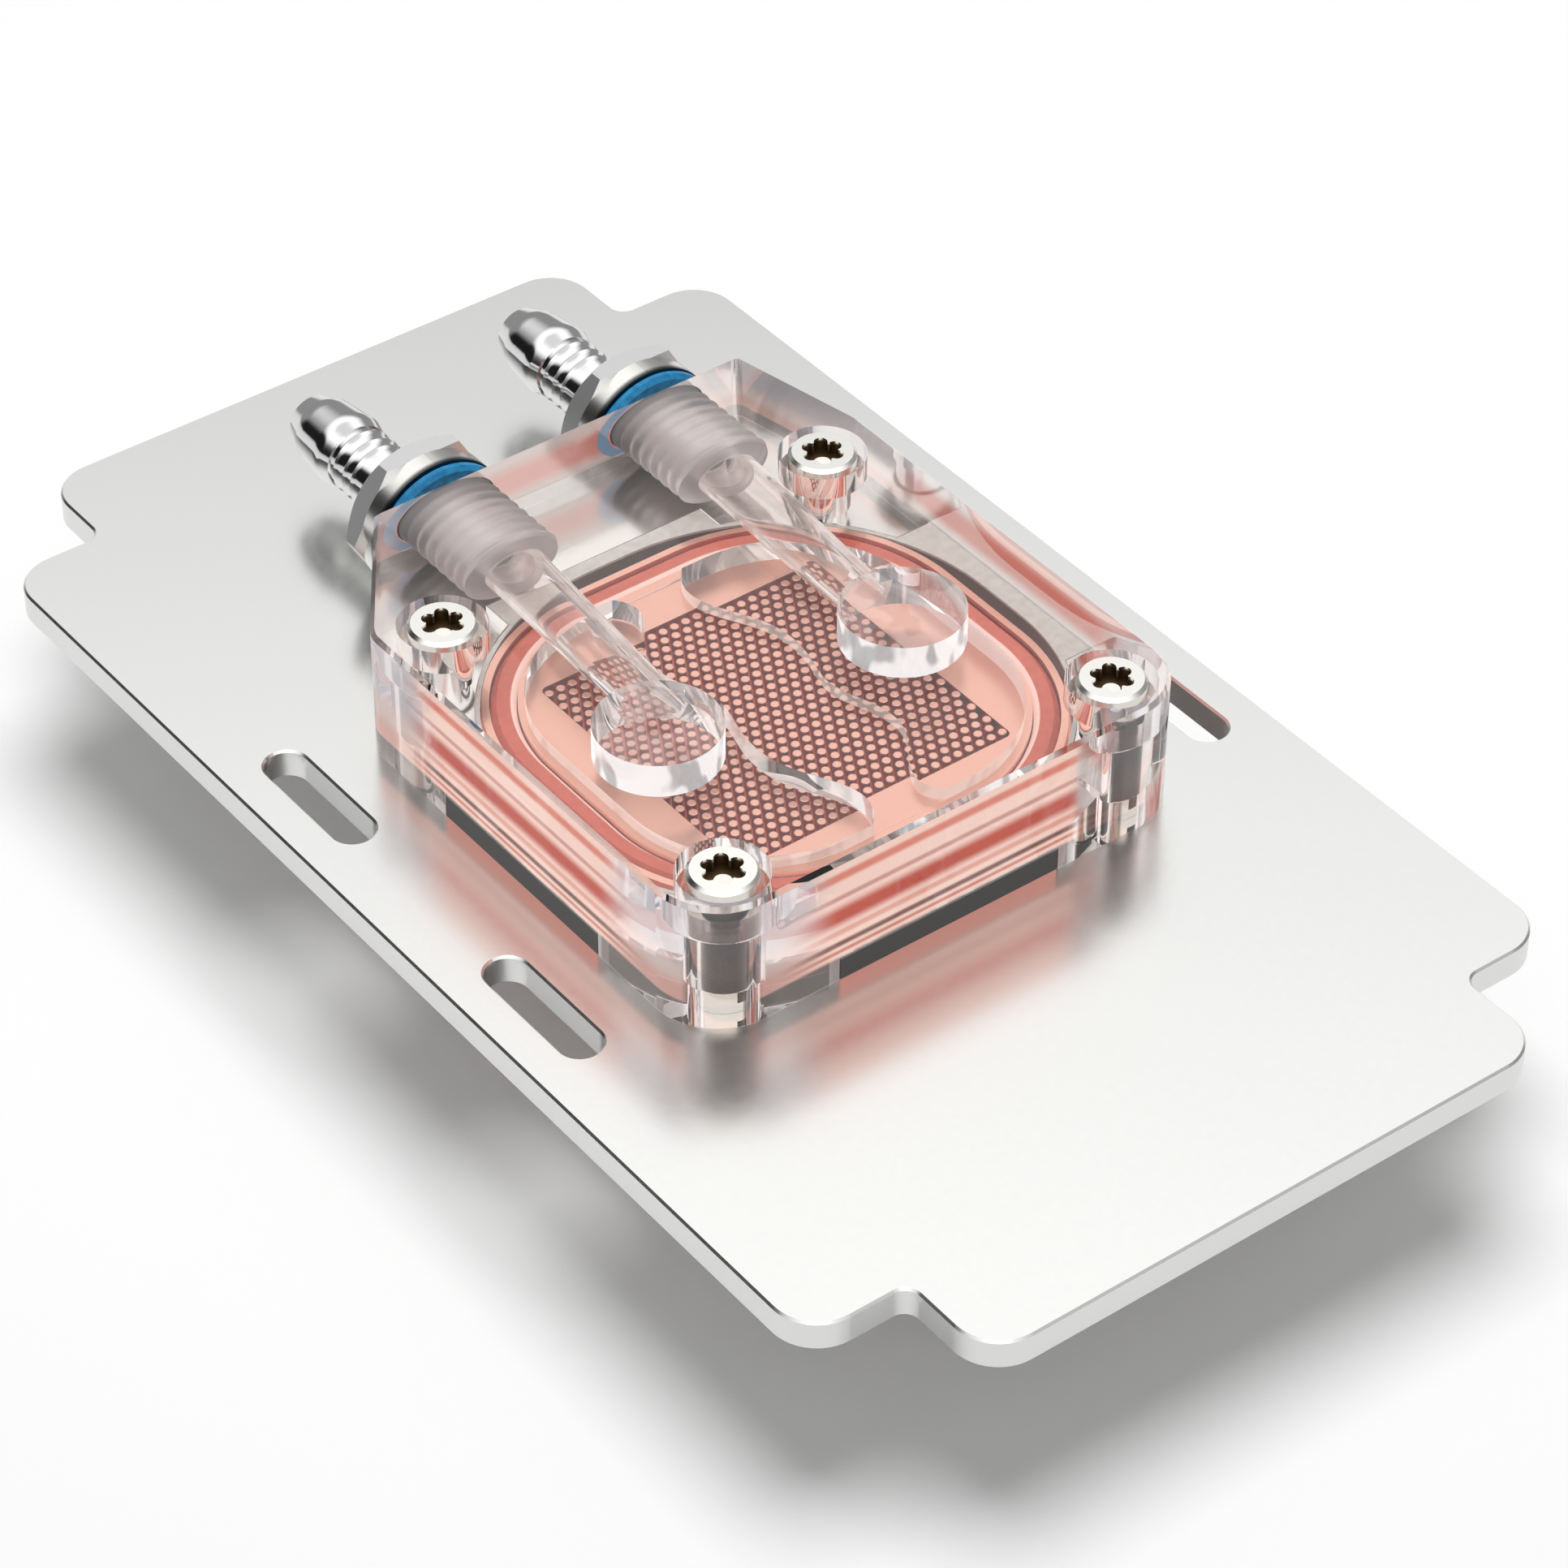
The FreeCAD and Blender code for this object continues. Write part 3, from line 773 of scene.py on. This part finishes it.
def new_piece(name, mesh, slot, material, *nodes):
    """Visible piece of the part. A mesh that comes with its own finishes keeps them."""
    piece = bpy.data.objects.new(name, mesh)
    bpy.context.scene.collection.objects.link(piece)
    if not mesh.materials:
        mesh.materials.append(material)
    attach(piece, BODY)
    if nodes:
        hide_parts(*nodes)


def merged(node):
    """The node's mesh as a joined-up one to work on."""
    shape = bmesh.new()
    shape.from_mesh(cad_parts[node].data)
    bmesh.ops.remove_doubles(shape, verts=shape.verts, dist=MERGE_DISTANCE)
    return shape


def smooth_mesh(name, shape, angle=SMOOTH_ANGLE):
    """Mesh of the shape, smooth across edges flatter than the angle."""
    mesh = bpy.data.meshes.new(name)
    for face in shape.faces:
        face.smooth = True
    limit = math.radians(angle)
    for edge in shape.edges:
        edge.smooth = len(edge.link_faces) == 2 and edge.calc_face_angle(math.pi) < limit
    shape.to_mesh(mesh)
    shape.free()
    return mesh


def shrink(shape, distance):
    """Draws every face inwards by the distance."""
    # normals whose dot product is over this count as one
    same_way = 0.95
    shape.normal_update()
    moves = []
    for vert in shape.verts:
        normals = []
        for face in vert.link_faces:
            if face.calc_area() > 0 and all(face.normal.dot(n) < same_way for n in normals):
                normals.append(face.normal.copy())
        moves.append(sum(normals, Vector()) * -distance)
    for vert, move in zip(shape.verts, moves):
        vert.co += move


def is_outer(point):
    """True on the block's straight outer walls."""
    margin = 2 * FILM
    at_side = min(abs(point.x - cover_low.x), abs(point.x - cover_high.x)) < margin
    at_end = min(abs(point.y - cover_low.y), abs(point.y - cover_high.y)) < margin
    return at_side or at_end


def cavity_kind(centre, axes, bore_end):
    """Kind of wall at this point of a port's bore, channel or pocket, else polished."""
    pocket_floor = deck_top + CHAMBER_HEIGHT + 2 * FILM
    kind = "polished"
    for side, (x, z) in axes.items():
        reach = math.hypot(centre.x - x, centre.z - z)
        if bore_end < centre.y < cover_high.y - 2 * FILM and reach < THREAD_BORE_RADIUS:
            kind = "wetted"
        elif POCKET_Y < centre.y < bore_end and reach < CHANNEL_REACH:
            kind = "channel"
        away = math.hypot(centre.x - POCKET_X[side], centre.y - POCKET_Y)
        if away < POCKET_RADIUS and centre.z > pocket_floor and kind != "channel":
            kind = "pocket"
    return kind


def wall_kind(face, solid, axes, bore_end):
    """Kind of the clear block's wall that the face belongs to."""
    centre = face.calc_center_median()
    kind = cavity_kind(centre, axes, bore_end)
    is_level = abs(face.normal.z) > 0.5
    if is_level:
        return kind
    in_chamber = abs(centre.x) < CHAMBER_X / 2 and abs(centre.y - block_y) < CHAMBER_Y / 2
    if in_chamber and deck_top + LAND_START < centre.z < deck_top + CHAMBER_HEIGHT:
        return "land"
    if kind != "polished":
        return kind
    if is_outer(centre):
        return "painted_stripes"
    beyond = solid.ray_cast(centre + face.normal * PROBE, face.normal)[0]
    return "corner" if beyond is None else kind


def make_cover(polished):
    """The clear block, with each kind of wall in its own finish."""
    shape = merged("clear_cover")
    shrink(shape, FILM)
    finishes = {
        "polished": polished,
        "wetted": wetted_wall(),
        "channel": milled_wall("channel_wall", 1.16, (0.25, 0.6), CHANNEL_LIGHT, CHANNEL_DARK),
        "pocket": milled_wall("pocket_wall", 1.16, (0.2, 0.92), POCKET_LIGHT, POCKET_DARK),
        "land": milled_wall("land_wall", 1.3, (0.3, 0.6), LAND_LIGHT, LAND_DARK),
        "painted_stripes": painted_reflection_wall(),
        "corner": corner_wall(),
    }
    kinds = list(finishes)
    axes = {side: axis_of("port_insert_" + side) for side in SIDES}
    bore_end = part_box("port_insert_left")[0].y - BORE_END_GAP
    shape.normal_update()
    solid = BVHTree.FromBMesh(shape)
    for face in shape.faces:
        face.material_index = kinds.index(wall_kind(face, solid, axes, bore_end))
    mesh = smooth_mesh("cover_block", shape)
    for material in finishes.values():
        mesh.materials.append(material)
    new_piece("cover_block", mesh, "clear_acrylic", polished, "clear_cover")


def make_collar(place, material):
    """A clear collar, drawn in a hair so that it touches nothing."""
    name = "collar_ring_" + place
    node = "screw_collar_" + place
    shape = merged(node)
    shrink(shape, FILM)
    new_piece(name, smooth_mesh(name, shape), "clear_collar", material, node)


def make_barb(side, material):
    """The node's own shape, with the turned profile shaded as one smooth surface."""
    name = "barb_" + side
    node = "hose_barb_" + side
    new_piece(name, smooth_mesh(name, merged(node)), "chrome_barb", material, node)


def in_recess(point, inset):
    """True inside the pin field's recess, as far in from its walls as the inset."""
    radius = PIN_RECESS_RADIUS
    dx = max(abs(point.x) - (PIN_FIELD_X / 2 - radius), 0)
    dy = max(abs(point.y - block_y) - (PIN_FIELD_Y / 2 - radius), 0)
    return math.hypot(dx, dy) < radius - inset


def make_base(material):
    """The copper base without the solid's plain pins, its recess closed with a flat floor."""
    shape = merged("copper_base")
    floor = deck_top - PIN_DEPTH
    pins = []
    for face in shape.faces:
        centre = face.calc_center_median()
        on_floor = all(abs(v.co.z - floor) < RECESS_MARGIN / 4 for v in face.verts)
        inset = 0 if on_floor else RECESS_MARGIN
        if in_recess(centre, inset) and centre.z > floor - RECESS_MARGIN:
            pins.append(face)
    bmesh.ops.delete(shape, geom=pins, context="FACES")
    rim = [e for e in shape.edges if e.is_boundary]
    bmesh.ops.holes_fill(shape, edges=rim, sides=0)
    bmesh.ops.triangulate(shape, faces=[f for f in shape.faces if len(f.verts) > 4])
    new_piece("base_deck", smooth_mesh("base_deck", shape), "copper", material, "copper_base")


def tree_input(tree, name, kind, default=None):
    socket = tree.interface.new_socket(name=name, in_out="INPUT", socket_type=kind)
    if default is not None:
        socket.default_value = default


def pin_shape(graph, given):
    """One pin: an open shaft under a bevelled crown."""
    shaft_height = given["Height"] - given["Crown"]
    shaft = graph.add("GeometryNodeMeshCone", {"fill_type": "NONE"}, {
        "Vertices": PIN_FACETS,
        "Radius Top": given["Radius"],
        "Radius Bottom": given["Radius"],
        "Depth": shaft_height,
    })
    crown = graph.add("GeometryNodeMeshCone", {"fill_type": "NGON"}, {
        "Vertices": PIN_FACETS,
        "Radius Top": given["Radius"] - given["Crown"],
        "Radius Bottom": given["Radius"],
        "Depth": given["Crown"],
    })
    lift = graph.add("ShaderNodeCombineXYZ", None, {2: shaft_height})
    crown = graph.add("GeometryNodeTransform", None, {"Geometry": crown, "Translation": lift})
    both = graph.tree.nodes.new("GeometryNodeJoinGeometry")
    for part in (shaft, crown):
        graph.tree.links.new(part.socket, both.inputs[0])
    sockets = {"Geometry": Value(graph, both.outputs[0]), "Distance": PIN_MERGE_DISTANCE}
    return graph.add("GeometryNodeMergeByDistance", None, sockets)


def pin_tree():
    """Staggered rows of round pins with bevelled crowns."""
    tree = bpy.data.node_groups.new("pin_rows", "GeometryNodeTree")
    tree.interface.new_socket(name="Geometry", in_out="OUTPUT", socket_type="NodeSocketGeometry")
    sizes = {
        "Field X": PIN_FIELD_X,
        "Field Y": PIN_FIELD_Y,
        "Pitch": PIN_PITCH,
        "Lattice Diameter": PIN_LATTICE_DIAMETER,
        "Radius": PIN_RADIUS,
        "Height": PIN_DEPTH,
        "Crown": PIN_CROWN,
    }
    for name, size in sizes.items():
        tree_input(tree, name, "NodeSocketFloat", size)
    tree_input(tree, "Centre", "NodeSocketVector")
    tree_input(tree, "Material", "NodeSocketMaterial")
    graph = Graph(tree)
    entry = graph.add("NodeGroupInput").socket.node
    given = {socket.name: Value(graph, socket) for socket in entry.outputs if socket.name}
    pitch = given["Pitch"]
    row_pitch = pitch * (math.sqrt(3) / 2)
    rows = ((given["Field Y"] - given["Lattice Diameter"]) / row_pitch).floor() + 1
    columns = ((given["Field X"] - given["Lattice Diameter"]) / pitch).floor() + 1
    index = graph.add("GeometryNodeInputIndex")
    row = (index / columns).floor()
    column = index % columns
    odd = row % 2
    x = (column - (columns - 1) * 0.5 + odd * 0.5) * pitch
    y = (row - (rows - 1) * 0.5) * row_pitch
    place = graph.add("ShaderNodeCombineXYZ", None, {0: x, 1: y})
    points = graph.add("GeometryNodePoints", None, {"Count": rows * columns, "Position": place})
    spare = odd * (column > columns - 1.5)
    sockets = {"Geometry": points, "Selection": spare}
    kept = graph.add("GeometryNodeDeleteGeometry", None, sockets)
    sockets = {"Points": kept, "Instance": pin_shape(graph, given)}
    copies = graph.add("GeometryNodeInstanceOnPoints", None, sockets)
    real = graph.add("GeometryNodeRealizeInstances", None, {"Geometry": copies})
    sockets = {"Geometry": real, "Translation": given["Centre"]}
    placed = graph.add("GeometryNodeTransform", None, sockets)
    sockets = {"Geometry": placed, "Material": given["Material"]}
    coated = graph.add("GeometryNodeSetMaterial", None, sockets)
    graph.add("NodeGroupOutput", None, {0: coated})
    return tree


def bake_tree(name, tree, values):
    """Plain mesh of what the tree makes from the named inputs."""
    carrier = bpy.data.objects.new(name + "_maker", bpy.data.meshes.new(name + "_maker"))
    bpy.context.scene.collection.objects.link(carrier)
    modifier = carrier.modifiers.new("tree", "NODES")
    modifier.node_group = tree
    for item in tree.interface.items_tree:
        if item.item_type == "SOCKET" and item.in_out == "INPUT" and item.name in values:
            modifier[item.identifier] = values[item.name]
    graph = bpy.context.evaluated_depsgraph_get()
    mesh = bpy.data.meshes.new_from_object(carrier.evaluated_get(graph))
    mesh.name = name
    carrier.modifiers.remove(modifier)
    bpy.data.objects.remove(carrier)
    return mesh


def make_pins(material):
    centre = (0.0, block_y, deck_top - PIN_DEPTH)
    mesh = bake_tree("pin_rows", pin_tree(), {"Centre": centre, "Material": material})
    new_piece("base_pins", mesh, "copper", material)


def make_thread(side, material):
    """Port insert with a helical thread, bored through."""
    name = "insert_thread_" + side
    node = "port_insert_" + side
    low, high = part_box(node)
    centre_x, centre_z = axis_of(node)
    crest = (high.x - low.x) / 2
    length = high.y - low.y
    count = round(length / THREAD_PITCH * THREAD_RINGS_PER_TURN)
    shape = bmesh.new()

    def ring(y, radius_at):
        verts = []
        for i in range(THREAD_SEGMENTS):
            angle = 2 * math.pi * i / THREAD_SEGMENTS
            radius = radius_at(i / THREAD_SEGMENTS)
            x = centre_x + radius * math.cos(angle)
            verts.append(shape.verts.new((x, y, centre_z + radius * math.sin(angle))))
        return verts

    def ridge(y):
        def radius_at(turn):
            phase = ((y - low.y) / THREAD_PITCH + turn) % 1
            valley = (0.5 + 0.5 * math.cos(2 * math.pi * phase)) ** THREAD_SHARPNESS
            return crest - THREAD_DEPTH * valley
        return radius_at

    rings = [ring(low.y, lambda turn: INSERT_BORE_RADIUS)]
    rings.append(ring(low.y, lambda turn: crest - THREAD_DEPTH))
    for step in range(count + 1):
        y = low.y + length * step / count
        rings.append(ring(y, ridge(y)))
    rings.append(ring(high.y, lambda turn: INSERT_BORE_RADIUS))
    for first, second in zip(rings, rings[1:] + rings[:1]):
        for i in range(THREAD_SEGMENTS):
            j = (i + 1) % THREAD_SEGMENTS
            shape.faces.new((first[i], first[j], second[j], second[i]))
    bmesh.ops.recalc_face_normals(shape, faces=shape.faces)
    mesh = smooth_mesh(name, shape, THREAD_SMOOTH_ANGLE)
    new_piece(name, mesh, "frosted_insert", material, node)


def coat(material, *nodes):
    """Gives CAD nodes their finish."""
    for node in nodes:
        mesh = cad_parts[node].data
        mesh.materials.clear()
        mesh.materials.append(material)


def named(stem, endings):
    return [stem + ending for ending in endings]


def dress():
    """Gives every node of the part its finish, or the piece that takes its place."""
    coat(satin_plate(), "carrier_plate")
    base_copper = copper()
    make_base(base_copper)
    make_pins(base_copper)
    coat(dark_frame(), "base_frame")
    coat(rubber("pale_gasket", GASKET_PALE, GASKET_PALE_DEEP, 0.5), "frame_gasket")
    coat(orange_seal(), "main_seal")
    make_cover(clear_plastic("clear_acrylic", ACRYLIC, roughness=0.0, ior=1.4))
    coat(bright_steel(), *named("cover_screw_", PLACES), *named("foot_bush_", PLACES))
    collar = clear_plastic("clear_collar", COLLAR_PLASTIC, roughness=0.2, ior=1.25)
    for place in PLACES:
        make_collar(place, collar)
    coat(dark_tube(), *named("limiter_tube_", PLACES))
    thread_plastic = frosted_thread()
    for side in SIDES:
        make_thread(side, thread_plastic)
    coat(rubber("blue_seal", SEAL_BLUE, SEAL_BLUE_DEEP, 0.4), *named("port_seal_", SIDES))
    coat(satin_washer(), *named("port_washer_", SIDES))
    chrome = chrome_barb()
    for side in SIDES:
        make_barb(side, chrome)


make_camera()
make_world()
make_floor()
make_key_lamp()
dress()

bpy.context.scene.view_settings.view_transform = "Standard"
bpy.context.scene.cycles.transparent_max_bounces = TRANSPARENT_BOUNCES
